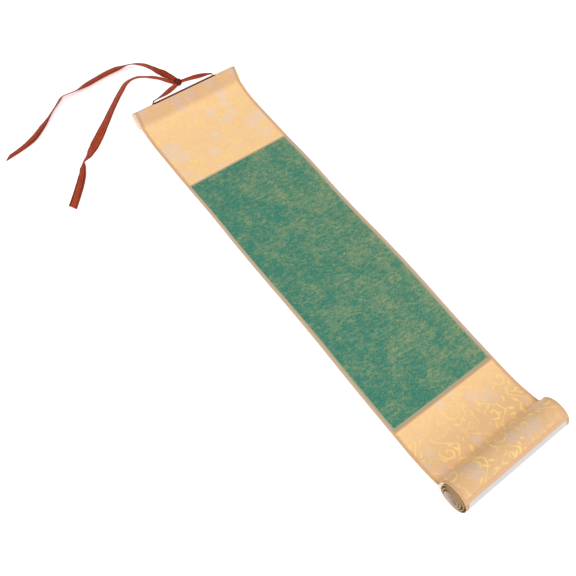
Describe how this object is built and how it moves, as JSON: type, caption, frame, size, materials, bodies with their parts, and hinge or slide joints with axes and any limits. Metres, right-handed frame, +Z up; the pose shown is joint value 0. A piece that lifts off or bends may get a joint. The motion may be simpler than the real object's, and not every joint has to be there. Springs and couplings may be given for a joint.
{
  "type": "paper scroll",
  "caption": "Small brocade-mounted scroll with a green panel, lying part unrolled, with a wrapped batten at the top, a loose roll at the bottom and a tied satin ribbon.",
  "frame": {"origin": "on the table, under the middle of the scroll without its ribbon", "axes": "+Y along the sheet from the roll towards the batten, +X across the sheet to the right when the batten is far from the viewer, +Z up"},
  "size_m": [0.2657, 0.6004, 0.0296],
  "materials": {
    "backing_paper": "matte plain mounting paper",
    "brocade": "satin-ground brocade with woven gold vines and pale flowers, pasted on paper",
    "divider": "matte tan strip paper",
    "edging": "matte orange-tan edging strip",
    "green_paper": "matte green paper with gold fleck mottling",
    "white_paper": "matte plain white paper",
    "batten_wood": "plain sawn pale wood",
    "ribbon": "rust-brown satin"
  },
  "bodies": {
    "root": {"backing_paper": "backing_paper", "top_brocade": "brocade", "top_divider": "divider", "green_panel": "green_paper", "lower_divider": "divider", "lower_brocade": "brocade", "roll_divider": "divider", "white_panel": "white_paper", "left_green_strip": "divider", "right_green_strip": "divider", "white_strips": "divider", "left_edging": "edging", "right_edging": "edging", "top_batten": "batten_wood", "ribbon_band": "ribbon", "ribbon_knot": "ribbon", "ribbon_left_leg": "ribbon", "ribbon_right_leg": "ribbon", "ribbon_long_tail": "ribbon", "ribbon_short_tail": "ribbon"}
  },
  "joints": []
}
